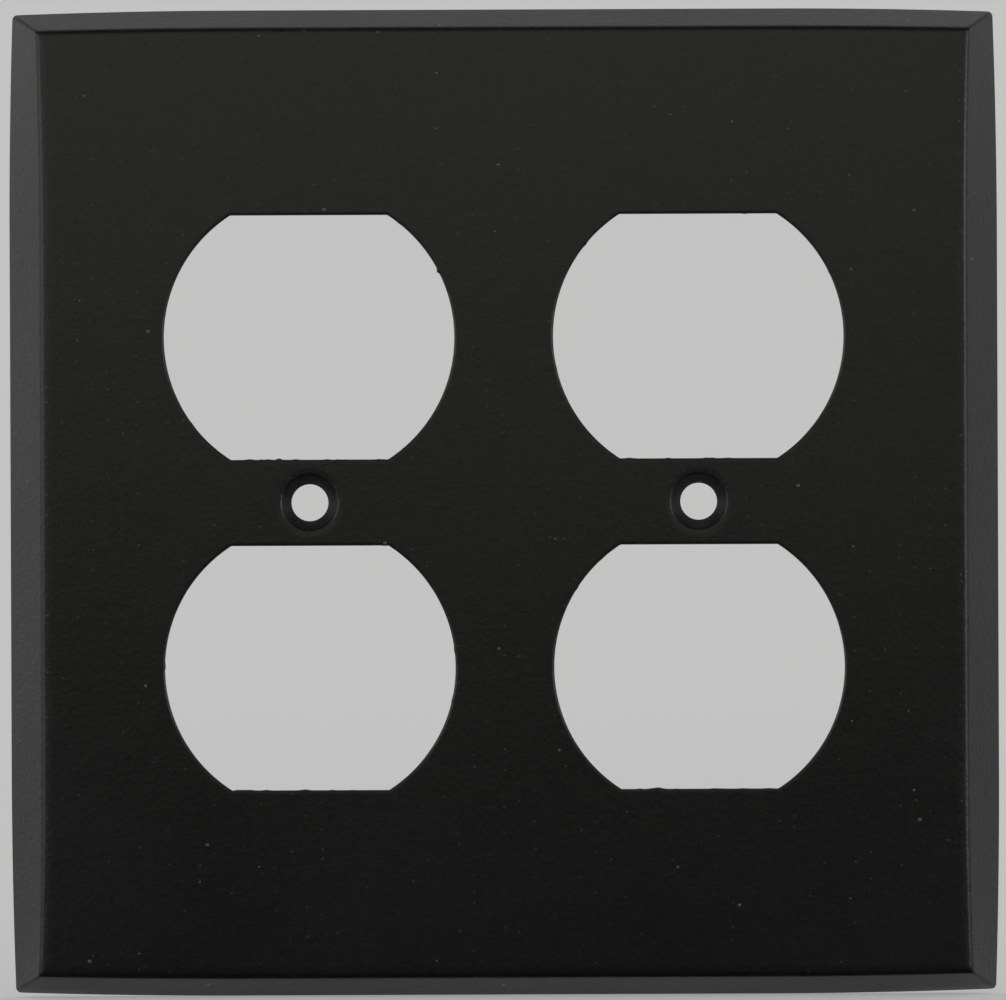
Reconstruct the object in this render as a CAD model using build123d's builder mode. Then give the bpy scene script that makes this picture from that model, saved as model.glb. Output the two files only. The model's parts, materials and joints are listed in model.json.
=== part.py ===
"""Two-gang wall plate cover for duplex receptacles, pressed from one sheet of steel.

Units are millimetres. The plate stands as it does on a wall: +X is to the right of a person
facing it, +Z is up, and +Y goes into the wall. The origin is the centre of the wall plane,
on which the rim bears, so the front face lies at y = -PROJECTION.

The cover is one piece of sheet metal, so the model has one sub-part:

    wall_plate   a shallow pan with a bevelled rim, four pierced openings for the receptacle
                 faces, and two dimpled screw seats that stand proud of the sheet's back
"""

from build123d import *

import math
import os

# ---- the pressed pan ----------------------------------------------------------------------
WIDTH = 117.8  # across the rim at mid side, 4 5/8 in once its edge is dulled
HEIGHT = 117.4  # up the rim at mid side
PROJECTION = 5.5  # from the wall plane to the front face
SHEET = 0.8  # steel of 0.032 in
BEVEL_RUN_SIDE = 4.1  # how far the left and right bevels reach in from the rim
BEVEL_RUN_END = 2.8  # the same for the steeper top and bottom bevels
STRAIGHT_SHARE = 0.55  # share of a side that stays straight, between its drawn-in ends
RIM_PULL_IN = (0.48, 0.48)  # drawing the pan pulls each rim corner in by this much in X and Z
FACE_PULL_IN = (-0.15, 0.15)  # the face corners move less, and a little outward in X
HIP_RADIUS = 0.75  # corners of the pan, outside
HIP_RADIUS_INSIDE = 0.35
BEND_RADIUS = 0.95  # between front face and bevel, outside
RIM_EDGE_RADIUS = 0.15  # the trimmed edge, dulled by its paint

# ---- what the receptacles fix ---------------------------------------------------------------
GANG_SPACING = 46.04  # between devices in a ganged box, 1 13/16 in
OUTLET_SPACING = 39.1  # between the two faces of one duplex receptacle
OPENING_DIAMETER = 34.35
OPENING_FLATS = 28.9  # across the flats at top and bottom
OPENING_CORNER_RADIUS = 0.3
PIERCED_EDGE_RADIUS = 0.22  # the punch rolls the front edge over

# ---- screw seats for 6-32 oval head screws ----------------------------------------------------
SCREW_HOLE_RADIUS = 2.18
SEAT_RADIUS = 3.35  # where the seat's cone would meet the front face
SEAT_ANGLE = 82
SEAT_LIP_RADIUS = 0.55  # the face runs down into the dimple in a smooth curve
DIMPLE_DEPTH = 2.0  # from the front face to the tip of the dimple

# ---- worked out from the above ------------------------------------------------------------------
WALL_PLANE = Plane.XZ  # its normal points out of the wall, towards -Y
CUT_SIDE = SHEET * math.hypot(PROJECTION, BEVEL_RUN_SIDE) / PROJECTION  # sheet, cut on the slant
CUT_END = SHEET * math.hypot(PROJECTION, BEVEL_RUN_END) / PROJECTION
SEAT_SLOPE = math.tan(math.radians(SEAT_ANGLE / 2))
SEAT_WALL = SHEET / math.cos(math.radians(SEAT_ANGLE / 2))  # the dimple's wall, along its radius
SEAT_DEPTH = (SEAT_RADIUS - SCREW_HOLE_RADIUS) / SEAT_SLOPE
DIMPLE_ROOT_RADIUS = SEAT_RADIUS + SEAT_WALL - SHEET * SEAT_SLOPE  # on the back of the sheet
DIMPLE_TIP_RADIUS = SEAT_RADIUS + SEAT_WALL - DIMPLE_DEPTH * SEAT_SLOPE


def pan_section(rise, cut_side, cut_end, corner_radius):
    """Outline of the pan at a rise from the wall plane, and a cut inside its outer skin.

    Each side is straight in the middle and curves gently to its two corners.
    """
    share = rise / PROJECTION
    half_w = WIDTH / 2 - cut_side - BEVEL_RUN_SIDE * share
    half_h = HEIGHT / 2 - cut_end - BEVEL_RUN_END * share
    pull_x, pull_z = [rim + (face - rim) * share for rim, face in zip(RIM_PULL_IN, FACE_PULL_IN)]
    straight_w = half_w * STRAIGHT_SHARE
    straight_h = half_h * STRAIGHT_SHARE
    corner = (half_w - pull_x, half_h - pull_z)
    with BuildSketch(WALL_PLANE.offset(rise)) as outline:
        with BuildLine():
            Line((0, half_h), (straight_w, half_h))
            TangentArc((straight_w, half_h), corner, tangent=(1, 0))
            Line((half_w, 0), (half_w, straight_h))
            TangentArc((half_w, straight_h), corner, tangent=(0, 1))
            mirror(about=Plane.YZ)
            mirror(about=Plane.XZ)
        make_face()
        fillet(outline.vertices().sort_by_distance((0, 0))[-4:], radius=corner_radius)
    return outline.sketch


with BuildPart() as wall_plate:
    # The outside of the pan runs from the rim on the wall plane to the front face.
    loft(
        sections=[
            pan_section(0, 0, 0, HIP_RADIUS),
            pan_section(PROJECTION, 0, 0, HIP_RADIUS),
        ],
        ruled=True,
    )
    fillet(wall_plate.faces().sort_by(Axis.Y)[0].edges(), radius=BEND_RADIUS)

    # The hollow behind it is the same shape, one sheet thickness further in.
    loft(
        sections=[
            pan_section(0, CUT_SIDE, CUT_END, HIP_RADIUS_INSIDE),
            pan_section(PROJECTION - SHEET, CUT_SIDE, CUT_END, HIP_RADIUS_INSIDE),
        ],
        ruled=True,
        mode=Mode.SUBTRACT,
    )
    back_of_face = wall_plate.faces().filter_by(Axis.Y).sort_by(Axis.Y)[1]
    fillet(back_of_face.edges(), radius=BEND_RADIUS - SHEET)
    rim_face = wall_plate.faces().sort_by(Axis.Y)[-1]
    fillet(rim_face.edges(), radius=RIM_EDGE_RADIUS)

    # Two dimples are pressed towards the wall, to sink the screw heads flush with the face.
    for x in (-GANG_SPACING / 2, GANG_SPACING / 2):
        seat_plane = Plane(origin=(x, -PROJECTION, 0), x_dir=(1, 0, 0), z_dir=(0, 0, 1))
        screw_axis = Axis((x, 0, 0), (0, 1, 0))
        with BuildSketch(seat_plane):
            with BuildLine():
                Polyline(
                    (0, SHEET),
                    (DIMPLE_ROOT_RADIUS, SHEET),
                    (DIMPLE_TIP_RADIUS, DIMPLE_DEPTH),
                    (0, DIMPLE_DEPTH),
                    close=True,
                )
            make_face()
        revolve(axis=screw_axis)
        with BuildSketch(seat_plane):
            with BuildLine():
                Polyline(
                    (0, 0),
                    (SEAT_RADIUS, 0),
                    (SCREW_HOLE_RADIUS, SEAT_DEPTH),
                    (SCREW_HOLE_RADIUS, DIMPLE_DEPTH),
                    (0, DIMPLE_DEPTH),
                    close=True,
                )
            make_face()
        revolve(axis=screw_axis, mode=Mode.SUBTRACT)
    face_circles = wall_plate.edges().filter_by(GeomType.CIRCLE).group_by(Axis.Y)[0]
    fillet(face_circles, radius=SEAT_LIP_RADIUS)

    # Each opening is the round face of an outlet with its top and bottom cut flat.
    with BuildSketch(WALL_PLANE.offset(PROJECTION)) as openings:
        with GridLocations(GANG_SPACING, OUTLET_SPACING, 2, 2):
            Circle(OPENING_DIAMETER / 2)
            Rectangle(OPENING_DIAMETER, OPENING_FLATS, mode=Mode.INTERSECT)
        fillet(openings.vertices(), radius=OPENING_CORNER_RADIUS)
    extrude(amount=-SHEET, mode=Mode.SUBTRACT)
    front_face = wall_plate.faces().filter_by(Axis.Y).sort_by(Axis.Y)[0]
    opening_wires = front_face.inner_wires().sort_by(SortBy.LENGTH)[-4:]
    fillet(opening_wires.edges(), radius=PIERCED_EDGE_RADIUS)

wall_plate.part.label = "wall_plate"

os.makedirs("parts", exist_ok=True)
export_step(wall_plate.part, "parts/wall_plate.step")
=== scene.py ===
# %% [markdown]
# # A steel wall plate in black powder coat
#
# A wall plate closes the wall box of an electrical outlet. This one covers two duplex
# receptacles side by side. It is pressed from one thin sheet of steel: a shallow pan with
# a bevelled rim, four openings and two dimples for the screws. Then it is powder coated.
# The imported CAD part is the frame: it fixes the size and the place of everything. This
# lesson builds a finer mesh of the same plate in that frame, coats it and lights it.

# %% Load the frame
import json
import math
import random

import bmesh
import bpy
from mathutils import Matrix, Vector
from mathutils.geometry import delaunay_2d_cdt


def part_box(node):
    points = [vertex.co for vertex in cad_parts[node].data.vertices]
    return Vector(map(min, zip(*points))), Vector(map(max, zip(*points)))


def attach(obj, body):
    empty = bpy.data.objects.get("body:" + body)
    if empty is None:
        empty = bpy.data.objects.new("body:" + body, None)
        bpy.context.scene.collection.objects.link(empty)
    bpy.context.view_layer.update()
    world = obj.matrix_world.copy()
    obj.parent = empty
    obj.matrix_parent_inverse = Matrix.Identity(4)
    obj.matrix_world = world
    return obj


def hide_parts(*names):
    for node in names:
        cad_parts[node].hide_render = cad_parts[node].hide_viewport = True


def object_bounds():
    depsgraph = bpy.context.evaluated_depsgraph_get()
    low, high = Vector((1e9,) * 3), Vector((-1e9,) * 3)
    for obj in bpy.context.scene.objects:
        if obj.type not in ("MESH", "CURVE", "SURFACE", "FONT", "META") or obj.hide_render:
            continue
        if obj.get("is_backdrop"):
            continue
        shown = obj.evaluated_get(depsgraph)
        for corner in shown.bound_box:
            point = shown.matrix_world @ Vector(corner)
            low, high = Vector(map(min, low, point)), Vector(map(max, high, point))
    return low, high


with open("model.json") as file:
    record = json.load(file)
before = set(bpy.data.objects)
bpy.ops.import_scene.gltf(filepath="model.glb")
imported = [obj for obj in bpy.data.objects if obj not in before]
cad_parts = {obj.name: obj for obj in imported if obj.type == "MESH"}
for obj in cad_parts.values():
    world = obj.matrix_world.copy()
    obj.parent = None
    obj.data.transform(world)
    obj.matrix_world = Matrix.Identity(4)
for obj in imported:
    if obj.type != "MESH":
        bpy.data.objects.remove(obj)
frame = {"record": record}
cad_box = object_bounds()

MM = 0.001
low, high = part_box("wall_plate")
depth = -low.y
print(f"plate {(high.x - low.x) / MM:.1f} x {(high.z - low.z) / MM:.1f} mm, {depth / MM:.1f} mm deep")

# %% [markdown]
# ## Sizes
#
# The frame gives the outside size, and the screws' mount gives how far apart they are and
# the size of their holes. The sheet's thickness, the slope of the bevels and the radii are
# the press tool's own sizes, so they are stated here once. Lengths are in metres, like
# everything in the scene, which is why each is a number of millimetres times MM.

# %% Sizes of the plate
screws = next(mount for mount in frame["record"]["mounts"] if mount["name"] == "screw_holes")
gang_spacing = screws["dims"]["spacing_x_mm"] * MM
hole_radius = screws["dims"]["hole_r_mm"] * MM
outlet_spacing = 39.1 * MM              # between the two outlets of one receptacle

sheet = 0.8 * MM
bevel_run_side = 4.2 * MM               # width of a bevel, seen from the front
bevel_run_end = 2.55 * MM
bend_radius = 0.95 * MM                 # from the face into a bevel
rim_edge_radius = 0.15 * MM
hip_radius = 0.65 * MM                  # between two bevels, at the rim
hip_radius_inside = 0.35 * MM
face_corner_radius = 0.3 * MM           # between two bevels, at the face
straight_share = 0.55                   # of each side; the rest curves to the corner
rim_pull_in = Vector((0.48, 0.48)) * MM         # by how much, along X and along Z
face_pull_in = Vector((-0.45, 0.28)) * MM       # less than nothing spreads the corner

opening_radius = 17.175 * MM
opening_half_flats = 14.45 * MM
opening_corner_radius = 0.3 * MM
rolled_edge_radius = 0.34 * MM          # front, where the punch enters
burr_edge_radius = 0.06 * MM            # back, where the metal breaks away

seat_radius = 3.35 * MM
seat_lip_radius = 0.55 * MM
seat_sink = 0.09 * MM                   # how far the face sinks beside the seat
seat_sink_run = 0.75 * MM
seat_slope = math.radians(82 / 2)       # from the axis, to suit an 82 degree screw head
dimple_depth = 2.0 * MM                 # from the face to the back of the dimple
print(f"screws {gang_spacing / MM:.2f} mm apart, in holes {2 * hole_radius / MM:.2f} mm across")

# %% [markdown]
# ## Paths with rounded corners
#
# Sheet metal is a few profiles swept along a few loops. A profile is a handful of corner
# points, and pressing or punching rounds each of them by its own radius. So the one
# drawing tool here takes corner points with their radii and returns the whole path, with
# true arcs. A Bevel modifier could round a sharp mesh afterwards, but it gives every
# corner the same width, and these range from 0.06 to 0.95 mm.

# %% A path with rounded corners
ARC_STEPS = 6


def cut_evenly(start, end, pieces):
    """The points that cut a straight stretch into equal pieces, without its start."""
    return [start.lerp(end, step / pieces) for step in range(1, pieces + 1)]


def rounded_path(first, *corners, last):
    """Points along a path. A corner is (x, y, radius, pieces in the straight before it)."""
    points = [Vector(first)]
    stops = [first] + [corner[:2] for corner in corners] + [last]
    for number, (x, y, radius, pieces) in enumerate(corners):
        corner = Vector((x, y))
        back = (Vector(stops[number]) - corner).normalized()
        ahead = (Vector(stops[number + 2]) - corner).normalized()
        half_turn = (math.pi - back.angle(ahead)) / 2
        start = corner + back * radius * math.tan(half_turn)
        centre = corner + (back + ahead).normalized() * radius / math.cos(half_turn)
        spoke = start - centre
        turn = math.copysign(2 * half_turn, back.cross(ahead))
        points += cut_evenly(points[-1], start, pieces)
        for step in range(1, ARC_STEPS + 1):
            angle = -turn * step / ARC_STEPS
            cos, sin = math.cos(angle), math.sin(angle)
            points.append(centre + Vector((cos * spoke.x - sin * spoke.y, sin * spoke.x + cos * spoke.y)))
    return points + [Vector(last)]


# %% [markdown]
# ## The rim, from face to back
#
# Cut the plate across one side and the sheet shows its profile: the front face begins to
# fall just before the bend, turns through it, runs down the bevel to the rim, turns round
# the trimmed edge on the wall and comes back up inside to the back of the face. The left
# and right bevels are wider than the top and bottom ones, so there are two such profiles.
# They have the same number of points, so that one can pass into the other around a corner
# of the plate.

# %% Profiles of the rim
FALL_RUN = 1.0 * MM     # how long before the bend the face begins to fall
FALL = 0.12 * MM        # how far it falls by the bend
FALL_RADIUS = 7 * MM
FLAT_MARGIN = FALL_RUN + 0.8 * MM     # where the flat fill takes over


def rim_profile(run):
    """(distance in from the rim, rise from the wall) along the sheet, from front to back."""
    cut = sheet * math.hypot(depth, run) / depth    # the sloping sheet, cut level by the wall
    back = depth - sheet
    inner_bend = cut + run * back / depth
    return rounded_path(
        (run + FLAT_MARGIN, depth),
        (run + FALL_RUN, depth, FALL_RADIUS, 1),
        (run, depth - FALL, bend_radius, 1),
        (0, 0, rim_edge_radius, 4),
        (cut, 0, rim_edge_radius, 1),
        (inner_bend, back, bend_radius - sheet, 3),
        last=(inner_bend + FLAT_MARGIN, back),
    )


side_profile = rim_profile(bevel_run_side)
end_profile = rim_profile(bevel_run_end)
sharp_half_w = high.x + min(point.x for point in side_profile)
sharp_half_h = high.z + min(point.x for point in end_profile)
print(f"{len(side_profile)} points in each rim profile")

# %% [markdown]
# ## Loops of the pan
#
# Drawing a flat sheet into a pan pulls its corners in a little, so no side is quite
# straight: each one keeps its line in the middle and curves gently to its two corners. The
# left and right bevels also narrow towards the corners, so there the edge of the face
# spreads instead. The profile above is swept round that outline. Where two bevels meet they
# form a hip, which is rounder at the rim than at the face.

# %% Radii of the hips, from the face down to the rim and up again inside
rim_bottom = min(range(len(side_profile)), key=lambda number: side_profile[number].y)
corner_radii = [
    hip_radius + (face_corner_radius - hip_radius) * point.y / depth
    for point in side_profile[:rim_bottom]
]
corner_radii += [hip_radius_inside] * (len(side_profile) - rim_bottom)
print(f"hips from {face_corner_radius / MM:.2f} to {hip_radius / MM:.2f} mm in radius")

# %% [markdown]
# A loop is worked out for one quarter, up the side, round the corner and along the top.
# Mirrored twice, it keeps the plate true on both axes.

# %% Sweep the rim profile round the pan
SIDE_STEPS = 40
CORNER_STEPS = 8


def drawn_in(half, pull, share):
    """Half width of a pan whose side curves in by pull, at a share of the way to its corner."""
    return half - pull * max(0, (share - straight_share) / (1 - straight_share)) ** 2


def pan_loop(side_point, end_point, radius):
    """One loop round the plate, through a point of the side profile and one of the end's."""
    half_w = sharp_half_w - side_point.x
    half_h = sharp_half_h - end_point.x
    pull_x = rim_pull_in.lerp(face_pull_in, side_point.y / depth).x
    pull_z = rim_pull_in.lerp(face_pull_in, end_point.y / depth).y
    straight_z = 1 - radius / (half_h - pull_z)
    straight_x = 1 - radius / (half_w - pull_x)
    quarter = []
    for step in range(SIDE_STEPS):
        share = straight_z * step / SIDE_STEPS
        x, z = drawn_in(half_w, pull_x, share), share * (half_h - pull_z)
        quarter.append(Vector((x, -side_point.y, z)))
    centre_x = drawn_in(half_w, pull_x, straight_z) - radius
    centre_z = drawn_in(half_h, pull_z, straight_x) - radius
    for step in range(CORNER_STEPS + 1):
        share = step / CORNER_STEPS
        angle = share * math.pi / 2
        rise = side_point.y + (end_point.y - side_point.y) * share
        x, z = centre_x + radius * math.cos(angle), centre_z + radius * math.sin(angle)
        quarter.append(Vector((x, -rise, z)))
    for step in range(1, SIDE_STEPS + 1):
        share = straight_x * (1 - step / SIDE_STEPS)
        x, z = share * (half_w - pull_x), drawn_in(half_h, pull_z, share)
        quarter.append(Vector((x, -end_point.y, z)))
    half = quarter + [Vector((-p.x, p.y, p.z)) for p in reversed(quarter[:-1])]
    return half + [Vector((p.x, p.y, -p.z)) for p in reversed(half[1:-1])]


pan_loops = [pan_loop(*points) for points in zip(side_profile, end_profile, corner_radii)]
print(f"{len(pan_loops)} loops of {len(pan_loops[0])} points go round the pan")

# %% [markdown]
# ## Loops of the openings
#
# A punch pierces the four openings. On the side where it enters, it draws the edge of the
# sheet down into a small roll. Then it shears the upper part of the thickness clean, and
# the rest breaks away and leaves the hole a trifle wider at the back. Each opening is a
# circle with its top and bottom cut flat, as the face of a receptacle is. Its outline is
# kept as points with the direction away from the hole, so that one profile can be swept
# round it at any offset.

# %% The outline of an opening
ARC_SPACING = 0.25 * MM


def opening_outline():
    """(point, direction into the sheet) round an opening centred on the origin."""
    reach = opening_radius - opening_corner_radius
    corner = Vector((0, opening_half_flats - opening_corner_radius))
    corner.x = math.sqrt(reach**2 - corner.y**2)
    corner_angle = math.atan2(corner.y, corner.x)
    arc_steps = round(opening_radius * corner_angle / ARC_SPACING)
    flat_steps = round(corner.x / ARC_SPACING)
    quarter = []
    for step in range(arc_steps):
        angle = corner_angle * step / arc_steps
        away = Vector((math.cos(angle), math.sin(angle)))
        quarter.append((away * opening_radius, away))
    for step in range(ARC_STEPS + 1):
        angle = corner_angle + (math.pi / 2 - corner_angle) * step / ARC_STEPS
        away = Vector((math.cos(angle), math.sin(angle)))
        quarter.append((corner + away * opening_corner_radius, away))
    up = Vector((0, 1))
    quarter += [
        (Vector((corner.x * (1 - step / flat_steps), opening_half_flats)), up)
        for step in range(1, flat_steps + 1)
    ]
    flip_x, flip_z = Vector((-1, 1)), Vector((1, -1))
    half = quarter + [(p * flip_x, away * flip_x) for p, away in reversed(quarter[:-1])]
    return half + [(p * flip_z, away * flip_z) for p, away in reversed(half[1:-1])]


outline = opening_outline()
print(f"an opening has {len(outline)} points round it")

# %% The edge of an opening, through the sheet
EDGE_MARGIN = 0.25 * MM
SHEARED_SHARE = 0.6
BREAK_RADIUS = 0.1 * MM
BREAK_AWAY = 0.04 * MM      # how much wider the hole is at the back

opening_profile = rounded_path(
    (rolled_edge_radius + EDGE_MARGIN, depth),
    (0, depth, rolled_edge_radius, 1),
    (0, depth - sheet * SHEARED_SHARE, BREAK_RADIUS, 2),
    (BREAK_AWAY, depth - sheet, burr_edge_radius, 2),
    last=(rolled_edge_radius + EDGE_MARGIN, depth - sheet),
)


def sweep(outline, profile, centre):
    """Loops round an outline, one for each (offset, rise) of the profile, at a centre (x, z)."""
    middle = Vector(centre)
    loops = []
    for offset, rise in profile:
        places = [middle + point + away * offset for point, away in outline]
        loops.append([Vector((place.x, -rise, place.y)) for place in places])
    return loops


print(f"its edge has {len(opening_profile)} points through the sheet")

# %% [markdown]
# Powder clings to a sharp edge, melts and beads there, so a coated edge is never as clean
# as the punched one. A few beads hang on each opening, most of them on the lower flat.
# They are drawn by pushing the outline inwards over a short length, so they are in the
# mesh and stand out against the light.

# %% Beads of coat on the edges of the openings
LOWER_FLAT = (math.radians(-122), math.radians(-58))
ALL_ROUND = (-math.pi, math.pi)
BEADS_BELOW, BEADS_AROUND = 9, 4
LARGE_BEADS = [
    (math.radians(27), 0.22 * MM, 0.22 * MM),
    (math.radians(-104), 0.18 * MM, 0.22 * MM),
]


def beaded(outline, beads):
    """The outline with beads on it, each an (angle round the opening, height, half length)."""
    grown = []
    for point, away in outline:
        around = math.atan2(point.y, point.x)
        height = sum(
            bead_height * math.exp(-(((around - angle) * point.length / half_length) ** 2))
            for angle, bead_height, half_length in beads
        )
        grown.append((point - away * height, away))
    return grown


drops = random.Random(11)
opening_loops = []
for x in (-gang_spacing / 2, gang_spacing / 2):
    for z in (-outlet_spacing / 2, outlet_spacing / 2):
        beads = [
            (drops.uniform(*LOWER_FLAT), drops.uniform(0.02, 0.08) * MM, drops.uniform(0.15, 0.6) * MM)
            for _ in range(BEADS_BELOW)
        ]
        beads += [
            (drops.uniform(*ALL_ROUND), drops.uniform(0.03, 0.08) * MM, drops.uniform(0.15, 0.4) * MM)
            for _ in range(BEADS_AROUND)
        ]
        if x < 0 < z:   # the upper left opening
            beads += LARGE_BEADS
        opening_loops.append(sweep(beaded(outline, beads), opening_profile, (x, z)))
print(f"{len(opening_loops)} openings with beads of coat up to 0.2 mm high")

# %% [markdown]
# ## Loops of the screw seats
#
# A second punch presses two dimples, so that the oval heads of the screws sink into them.
# The face sinks a little all round each one and runs down into it in a smooth curve. A cone
# takes the screw's head, and a short land takes its shank. On the back the same dimple
# stands proud as a blunt cone.

# %% Sweep the seat profile round the screw holes
SEAT_STEPS = 96
seat_wall = sheet / math.cos(seat_slope)
seat_depth = (seat_radius - hole_radius) / math.tan(seat_slope)
root_radius = seat_radius + seat_wall - sheet * math.tan(seat_slope)
tip_radius = seat_radius + seat_wall - dimple_depth * math.tan(seat_slope)

seat_profile = rounded_path(
    (seat_radius + seat_sink_run + 0.2 * MM, depth),        # the flat face
    (seat_radius + seat_sink_run, depth, 3 * MM, 1),        # the face begins to sink
    (seat_radius, depth - seat_sink, seat_lip_radius, 1),   # the lip of the cone
    (hole_radius, depth - seat_depth, 0.06 * MM, 4),        # the foot of the cone
    (hole_radius, depth - dimple_depth, 0.05 * MM, 2),      # the end of the land
    (tip_radius, depth - dimple_depth, 0.08 * MM, 1),       # the dimple's tip at the back
    (root_radius, depth - sheet, 0.3 * MM, 3),              # its root on the back of the face
    last=(root_radius + 0.45 * MM, depth - sheet),
)
spokes = [
    (Vector((0, 0)), Vector((math.cos(turn), math.sin(turn))))
    for turn in (math.tau * step / SEAT_STEPS for step in range(SEAT_STEPS))
]
seat_loops = [sweep(spokes, seat_profile, (x, 0)) for x in (-gang_spacing / 2, gang_spacing / 2)]
print(f"seats {seat_depth / MM:.2f} mm deep under the face, holes {2 * hole_radius / MM:.2f} mm")

# %% [markdown]
# ## Skin the loops
#
# Rows of quads between neighbouring loops make the rim, the edges of the openings and the
# seats. Then only two flat faces are missing, the front one and the back one, each with six
# holes. A constrained triangulation fills them and keeps the loops' own points, so the
# skin closes with no gap. A boolean would cut the holes too, but it leaves ragged
# triangles beside the small radii, and they would show in the gloss.

# %% Quads between loops
def skin(shell, loops):
    """Quads between closed loops; returns the vertices of the first and the last loop."""
    rows = [[shell.verts.new(point) for point in loop] for loop in loops]
    for row, after in zip(rows, rows[1:]):
        for number in range(len(row)):
            shell.faces.new((row[number - 1], row[number], after[number], after[number - 1]))
    return rows[0], rows[-1]


shell = bmesh.new()
ends = [skin(shell, loops) for loops in [pan_loops, *opening_loops, *seat_loops]]
print(f"{len(shell.faces)} quads on the rim, the edges and the seats")

# %% [markdown]
# A triangulation with points only on its loops would give long thin slivers, and shading
# runs along those. So the flats also get points on a coarse grid, wherever they stay clear
# of the loops.

# %% Fill the two flats
GRID = 3.0 * MM
INSIDE_LOOPS = 1        # the triangulation's mode that keeps what lies inside its loops
SAME_POINT = 1e-9


def clear_of(point, loops, gap):
    """Whether a point keeps a gap from every vertex of some loops."""
    return all((vertex.co - point).length > gap for loop in loops for vertex in loop)


def fill_flat(shell, loops):
    """Closes a flat face between an outer loop and the holes in it."""
    vertices, areas = [], []
    for loop in loops:
        areas.append(range(len(vertices), len(vertices) + len(loop)))
        vertices += loop
    level = vertices[0].co.y
    half_w = max(vertex.co.x for vertex in loops[0])
    half_h = max(vertex.co.z for vertex in loops[0])
    columns, rows = int(half_w / GRID), int(half_h / GRID)
    for column in range(-columns, columns + 1):
        for row in range(-rows, rows + 1):
            point = Vector((column * GRID, level, row * GRID))
            on_sheet = half_w - abs(point.x) > GRID / 2 and half_h - abs(point.z) > GRID / 2
            if on_sheet and clear_of(point, loops, GRID / 2):
                vertices.append(shell.verts.new(point))
    flat = [Vector((vertex.co.x, vertex.co.z)) for vertex in vertices]
    cut = delaunay_2d_cdt(flat, [], areas, INSIDE_LOOPS, SAME_POINT)
    _, _, triangles, from_vertex, _, from_area = cut
    # A triangle in the outer loop and in no hole is one of area 0 alone.
    in_sheet = [corners for corners, inside in zip(triangles, from_area) if inside == [0]]
    for corners in in_sheet:
        shell.faces.new([vertices[from_vertex[corner][0]] for corner in corners])
    return len(in_sheet)


for side, name in enumerate(("front", "back")):
    made = fill_flat(shell, [pair[side] for pair in ends])
    print(f"{made} triangles fill the {name}")

# %% Close the skin and measure it
loose = [vertex for vertex in shell.verts if not vertex.link_faces]
bmesh.ops.delete(shell, geom=loose, context="VERTS")
bmesh.ops.recalc_face_normals(shell, faces=shell.faces)
open_edges = sum(not edge.is_manifold for edge in shell.edges)
volume = shell.calc_volume()
print(f"{len(shell.verts)} vertices, {open_edges} open edges, {volume / MM**3:.0f} mm3 of steel")

# %% [markdown]
# The mesh becomes the object that stands for the CAD node. Smooth shading with weighted
# normals keeps the wide flats flat and lets only the narrow rows of quads turn, as bent
# sheet metal does.

# %% The plate as an object
plate_mesh = bpy.data.meshes.new("wall_plate_steel")
shell.to_mesh(plate_mesh)
shell.free()
plate_mesh.shade_smooth()
plate = bpy.data.objects.new("wall_plate_steel", plate_mesh)
bpy.context.collection.objects.link(plate)
weighted = plate.modifiers.new("flat faces stay flat", "WEIGHTED_NORMAL")
weighted.weight = 100
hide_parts("wall_plate")
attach(plate, "root")
print(f"{plate.name}: {len(plate_mesh.polygons)} faces")

# %% [markdown]
# ## Colours and nodes
#
# Colours are picked as sRGB hex, as a paint chart gives them, and the shader works in
# linear light, so one function converts them. A second one adds a node with its settings
# and links, which keeps each material readable as a list of its layers.

# %% Helpers for materials
def linear(hex_colour):
    """An sRGB hex colour as linear RGBA."""
    channels = [int(hex_colour[start:start + 2], 16) / 255 for start in (1, 3, 5)]
    return [c / 12.92 if c <= 0.04045 else ((c + 0.055) / 1.055) ** 2.4 for c in channels] + [1]


def add(tree, kind, inputs=None, **settings):
    """Adds a node; an input is a value, or the socket that feeds it."""
    node = tree.nodes.new(kind)
    for name, value in settings.items():
        setattr(node, name, value)
    for name, value in (inputs or {}).items():
        if isinstance(value, bpy.types.NodeSocket):
            tree.links.new(value, node.inputs[name])
        else:
            node.inputs[name].default_value = value
    return node


def new_material(name):
    """A material with no nodes in it yet."""
    material = bpy.data.materials.new(name)
    material.use_nodes = True
    material.node_tree.nodes.clear()
    return material, material.node_tree


# %% [markdown]
# ## Black powder coat
#
# Powder coat is polyester powder, charged so that it clings to the steel, and baked until
# it flows into one film. The eye sees a soft satin sheen and a skin that never lies quite
# flat: grains of powder that stopped flowing leave a fine orange peel, and the film swells
# and thins over a few millimetres. A few grains stand up as pale specks where dust got
# into the oven.

# %% Black powder coat
PEEL = 0.6 * MM         # real peel is about 0.2 mm, drawn coarser so that it shows
PEEL_DEPTH = 0.055 * MM
FILM_WAVES = 5 * MM
WAVE_DEPTH = 0.06 * MM
CLOUDS = 30 * MM        # patches a little more or less glossy
SATIN = (0.36, 0.42)    # roughness
NOISE_RANGE = {"From Min": 0.3, "From Max": 0.7}    # a noise rarely leaves this range
powder_coat, tree = new_material("black powder coat")
where = add(tree, "ShaderNodeTexCoord").outputs["Object"]
peel = add(tree, "ShaderNodeTexNoise", {"Vector": where, "Scale": 1 / PEEL, "Detail": 3, "Roughness": 0.6})
waves = add(tree, "ShaderNodeTexNoise", {"Vector": where, "Scale": 1 / FILM_WAVES, "Detail": 2})
clouds = add(tree, "ShaderNodeTexNoise", {"Vector": where, "Scale": 1 / CLOUDS, "Detail": 3})
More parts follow.
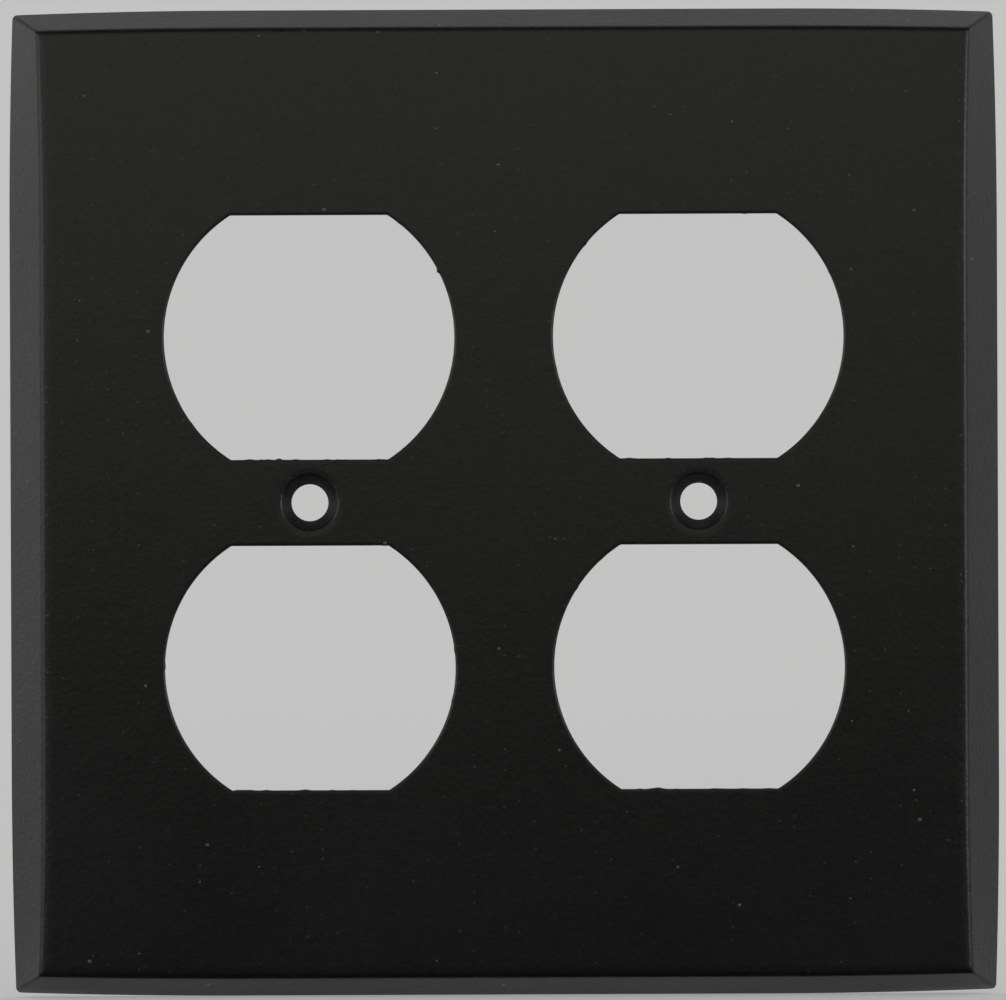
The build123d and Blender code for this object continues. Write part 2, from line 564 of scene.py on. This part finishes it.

# The hollows of the peel are drawn a shade darker than its crests.
peel_hollow_tone = add(tree, "ShaderNodeMapRange", {"Value": peel.outputs[0], **NOISE_RANGE})
film = add(
    tree, "ShaderNodeMix",
    {0: peel_hollow_tone.outputs[0], 6: linear("#090908"), 7: linear("#161615")}, data_type="RGBA",
)
satin = add(
    tree, "ShaderNodeMapRange",
    {"Value": clouds.outputs[0], **NOISE_RANGE, "To Min": SATIN[0], "To Max": SATIN[1]},
)
wavy = add(tree, "ShaderNodeBump", {"Height": waves.outputs[0], "Strength": 1, "Distance": WAVE_DEPTH})
skin_of_coat = add(
    tree, "ShaderNodeBump",
    {"Height": peel.outputs[0], "Strength": 1, "Distance": PEEL_DEPTH, "Normal": wavy.outputs[0]},
)

# %% [markdown]
# The specks are drawn in two sizes: a few pale ones of dust, and many small grains that
# are only a shade lighter than the film. Each lies in its own cell of a pattern, a share
# of the cells stay empty, and each speck also stands up a little as a low cone. A real
# speck is a tenth of a millimetre or so across, and these are drawn about twice as wide so
# that they show.

# %% Specks in the coat
DUST = {"cell": 7 * MM, "share": 0.35, "radius": 0.23 * MM, "tone": "#4C4B47", "slope": 0.45}
GRAINS = {"cell": 1.8 * MM, "share": 0.4, "radius": 0.17 * MM, "tone": "#2A2A28", "slope": 0.22}

facing = add(tree, "ShaderNodeMapping", {"Vector": where, "Rotation": (math.pi / 2, 0, 0)})
colour, normal = film.outputs[2], skin_of_coat.outputs[0]
for kind in (GRAINS, DUST):
    cells = add(
        tree, "ShaderNodeTexVoronoi", {"Vector": facing.outputs[0], "Scale": 1 / kind["cell"]},
        voronoi_dimensions="2D",
    )
    chance = add(tree, "ShaderNodeSeparateColor", {0: cells.outputs["Color"]})
    reach = add(
        tree, "ShaderNodeMapRange",
        {"Value": chance.outputs[0], "From Min": 1 - kind["share"], "From Max": 1,
         "To Min": 0, "To Max": kind["radius"] / kind["cell"]},
    )
    speck = add(
        tree, "ShaderNodeMath", {0: reach.outputs[0], 1: cells.outputs["Distance"]},
        operation="SUBTRACT", use_clamp=True,
    )
    there = add(tree, "ShaderNodeMath", {0: speck.outputs[0], 1: 0}, operation="GREATER_THAN")
    colour = add(
        tree, "ShaderNodeMix", {0: there.outputs[0], 6: colour, 7: linear(kind["tone"])}, data_type="RGBA"
    ).outputs[2]
    normal = add(
        tree, "ShaderNodeBump",
        {"Height": speck.outputs[0], "Strength": 1, "Distance": kind["cell"] * kind["slope"],
         "Normal": normal},
    ).outputs[0]

coat = add(
    tree, "ShaderNodeBsdfPrincipled",
    {"Base Color": colour, "Roughness": satin.outputs[0], "Normal": normal, "IOR": 1.5},
)
add(tree, "ShaderNodeOutputMaterial", {"Surface": coat.outputs[0]})
plate_mesh.materials.append(powder_coat)
print(f"{powder_coat.name}: {len(tree.nodes)} nodes")

# %% [markdown]
# ## The studio
#
# Satin black takes its looks from what it reflects, so a black part is best shown in a pale
# room. Here a round floor sweeps up into a wall without a seam. Its paint also glows a
# little, as a light table does, so the strip under the lower edge of the plate, where no
# lamp reaches, isn't black.

# %% A pale seamless bowl
BOWL_FLOOR = 1.5
BOWL_CURVE = 0.8
BOWL_HEIGHT = 2.6
BOWL_SECTORS = 96
CURVE_STEPS = 12

# Points (radius, rise), from near the middle of the floor out and up the wall.
bowl_profile = [(BOWL_FLOOR * share, 0) for share in (0.1, 0.25, 0.5, 0.75, 1)]
for step in range(1, CURVE_STEPS + 1):
    turn = math.pi / 2 * step / CURVE_STEPS
    bowl_profile.append((BOWL_FLOOR + BOWL_CURVE * math.sin(turn), BOWL_CURVE * (1 - math.cos(turn))))
bowl_profile.append((BOWL_FLOOR + BOWL_CURVE, BOWL_HEIGHT))

bowl_mesh = bpy.data.meshes.new("studio_bowl")
skin_of_bowl = bmesh.new()
turns = [math.tau * sector / BOWL_SECTORS for sector in range(BOWL_SECTORS)]
inner_ring, _ = skin(skin_of_bowl, [
    [Vector((radius * math.cos(turn), radius * math.sin(turn), low.z + rise)) for turn in turns]
    for radius, rise in bowl_profile
])
skin_of_bowl.faces.new(inner_ring)
bmesh.ops.recalc_face_normals(skin_of_bowl, faces=skin_of_bowl.faces)
skin_of_bowl.to_mesh(bowl_mesh)
skin_of_bowl.free()
bowl_mesh.shade_smooth()
bowl = bpy.data.objects.new("studio_bowl", bowl_mesh)
bpy.context.collection.objects.link(bowl)
bowl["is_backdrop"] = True
print(f"bowl {2 * (BOWL_FLOOR + BOWL_CURVE):.1f} m across, {BOWL_HEIGHT:.1f} m high")

# %% Matt paint on the bowl
bowl_paint, tree = new_material("matt studio paint")
matt = add(
    tree, "ShaderNodeBsdfPrincipled",
    {"Base Color": linear("#C6C6C5"), "Roughness": 0.9, "Specular IOR Level": 0,
     "Emission Color": linear("#F4F4F4"), "Emission Strength": 0.30},
)
add(tree, "ShaderNodeOutputMaterial", {"Surface": matt.outputs[0]})
bowl_mesh.materials.append(bowl_paint)
print(f"{bowl_paint.name}: no gloss at all, so the bowl shows no highlights")

# %% [markdown]
# ## Light
#
# The widest source hangs above and behind the plate, so that the bowl glows and the upper
# bevel catches it, but the face doesn't. A panel on each side lights the long bevels, the
# left one more. Two small wings further forward draw the thin bright arcs on the left and
# right of each screw seat. Panels and wings stand so close to the floor that they would
# draw hard lines on it, so only reflections see them. A source is given by its brightness,
# and its power follows from its size.

# %% Soft light from above and from both sides
def soft_box(name, at, towards, width, height, radiance, lights_room=False):
    """An area light of a given brightness. Only reflections see it, unless it lights the room."""
    light = bpy.data.lights.new(name, "AREA")
    light.shape = "RECTANGLE"
    light.size, light.size_y = width, height
    light.energy = radiance * math.pi * width * height
    lamp = bpy.data.objects.new(name, light)
    lamp.location = at
    lamp.rotation_euler = (Vector(towards) - Vector(at)).to_track_quat("-Z", "Y").to_euler()
    lamp.visible_camera = False
    lamp.visible_diffuse = lights_room
    bpy.context.collection.objects.link(lamp)
    print(f"{name}: {light.energy:.2f} W")


PLATE = (0, 0, 0)
PANEL = {"towards": PLATE, "width": 0.9, "height": 0.9}
WING = {"towards": PLATE, "width": 0.22, "height": 0.3}
soft_box("overhead", (0, 1.0, 2.4), (0, 0.6, 0), width=2.6, height=1.8, radiance=0.5, lights_room=True)
soft_box("left_panel", (-1.1, 0.25, 0.1), radiance=0.52, **PANEL)
soft_box("right_panel", (1.1, 0.25, 0.1), radiance=0.16, **PANEL)
soft_box("left_wing", (-0.55, -0.45, 0), radiance=7.3, **WING)
soft_box("right_wing", (0.55, -0.45, 0), radiance=5.6, **WING)

# %% Air
world = bpy.data.worlds.new("studio_air")
bpy.context.scene.world = world
world.use_nodes = True
air = world.node_tree.nodes["Background"]
air.inputs["Color"].default_value = linear("#F0F0F0")
air.inputs["Strength"].default_value = 0.2
print("a faint even light comes in over the bowl's rim")

# %% [markdown]
# ## What the face reflects
#
# The face shows what stands opposite it. On a wall that is a dim room, with its ceiling
# above, so the face is lighter at the top and almost black at the bottom. Two cards stand
# in for that room: a dark hood, with a floor, an end and a roof, and inside it a small card
# that fades from top to bottom. Only reflections see them. The camera and the floor don't,
# and they cast no shadow.

# %% A dark hood opposite the face
def card(name, line, left, right, material):
    """A bent card in front of the plate: a line of (y, z) points, drawn out along X."""
    mesh = bpy.data.meshes.new(name)
    corners = [(x, y, z) for x in (left, right) for y, z in line]
    bends = range(len(line) - 1)
    mesh.from_pydata(corners, [], [(n, n + 1, len(line) + n + 1, len(line) + n) for n in bends])
    mesh.materials.append(material)
    sheet_of_card = bpy.data.objects.new(name, mesh)
    sheet_of_card.visible_camera = False
    sheet_of_card.visible_shadow = False
    sheet_of_card.visible_diffuse = False
    bpy.context.collection.objects.link(sheet_of_card)
    sheet_of_card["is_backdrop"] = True
    print(f"{name}: {(right - left):.2f} m wide")


flock, tree = new_material("black flock")
# Fibres on end have next to no sheen, so the hood throws back very little.
fibres = add(tree, "ShaderNodeBsdfPrincipled", {"Base Color": linear("#303030"), "Roughness": 1.0})
add(tree, "ShaderNodeOutputMaterial", {"Surface": fibres.outputs[0]})

HOOD_FAR_END, HOOD_TOP, HOOD_HALF_WIDTH = -1.05, 0.35, 0.8
hood_bottom = low.z + 0.5 * MM      # just clear of the floor
hood_lip = low.y + 1.0 * MM         # its lower edge reaches in under the plate
card(
    "dark_hood",
    [(hood_lip, hood_bottom), (HOOD_FAR_END, hood_bottom), (HOOD_FAR_END, HOOD_TOP), (0, HOOD_TOP)],
    -HOOD_HALF_WIDTH, HOOD_HALF_WIDTH, flock,
)

# %% A card that fades from top to bottom
FADE_TOP, FADE_BOTTOM = 0.10, -0.055
FADE_BRIGHT, FADE_DARK = 0.67, 0.0
CARD_Y, CARD_HALF_HEIGHT = -0.16, 0.14
CARD_LEFT, CARD_RIGHT = -0.30, 0.12     # further to the left, so the face is lighter there
glow, tree = new_material("fading glow")
place = add(tree, "ShaderNodeTexCoord")
height = add(tree, "ShaderNodeSeparateXYZ", {0: place.outputs["Object"]})
fade = add(
    tree, "ShaderNodeMapRange",
    {"Value": height.outputs["Z"], "From Min": FADE_BOTTOM, "From Max": FADE_TOP,
     "To Min": FADE_DARK, "To Max": FADE_BRIGHT},
)
lamp_glow = add(tree, "ShaderNodeEmission", {"Color": linear("#FFFFF6"), "Strength": fade.outputs[0]})
add(tree, "ShaderNodeOutputMaterial", {"Surface": lamp_glow.outputs[0]})
card(
    "fading_card", [(CARD_Y, -CARD_HALF_HEIGHT), (CARD_Y, CARD_HALF_HEIGHT)],
    CARD_LEFT, CARD_RIGHT, glow,
)

# %% [markdown]
# ## The camera
#
# A long lens from straight ahead keeps the sides of the plate parallel. The plate hangs a
# hair askew in the frame, so the camera is rolled and moved by as little.

# %% Camera
VIEW_WIDTH = 118.94 * MM    # what the frame takes in at the face
ROLL = math.radians(0.23)
OFF_CENTRE = Vector((-0.154, 0.236)) * MM
lens = bpy.data.cameras.new("camera")
lens.lens = 250             # in real millimetres, like the sensor
lens.sensor_width = 36
distance = VIEW_WIDTH * lens.lens / lens.sensor_width
lens.clip_start = 0.05
lens.clip_end = 10
camera = bpy.data.objects.new("camera", lens)
camera.location = (OFF_CENTRE.x, low.y - distance, OFF_CENTRE.y)
camera.rotation_euler = (math.pi / 2, ROLL, 0)
bpy.context.collection.objects.link(camera)
bpy.context.scene.camera = camera
bpy.context.scene.view_settings.view_transform = "Standard"
bpy.context.scene.view_settings.look = "None"
print(f"camera {distance:.3f} m in front of the face")

# %% [markdown]
# ## The size, and the end
#
# The finer mesh is meant to stay inside the part it stands for, so the last cell prints how far, if at
# all, it reaches outside the CAD box.

# %% Compare the boxes and finish
seen_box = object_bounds()
outside = max(max(cad_box[0] - seen_box[0]), max(seen_box[1] - cad_box[1]))
print(f"the visual model reaches {max(0, outside) / MM:.3f} mm outside the CAD box")
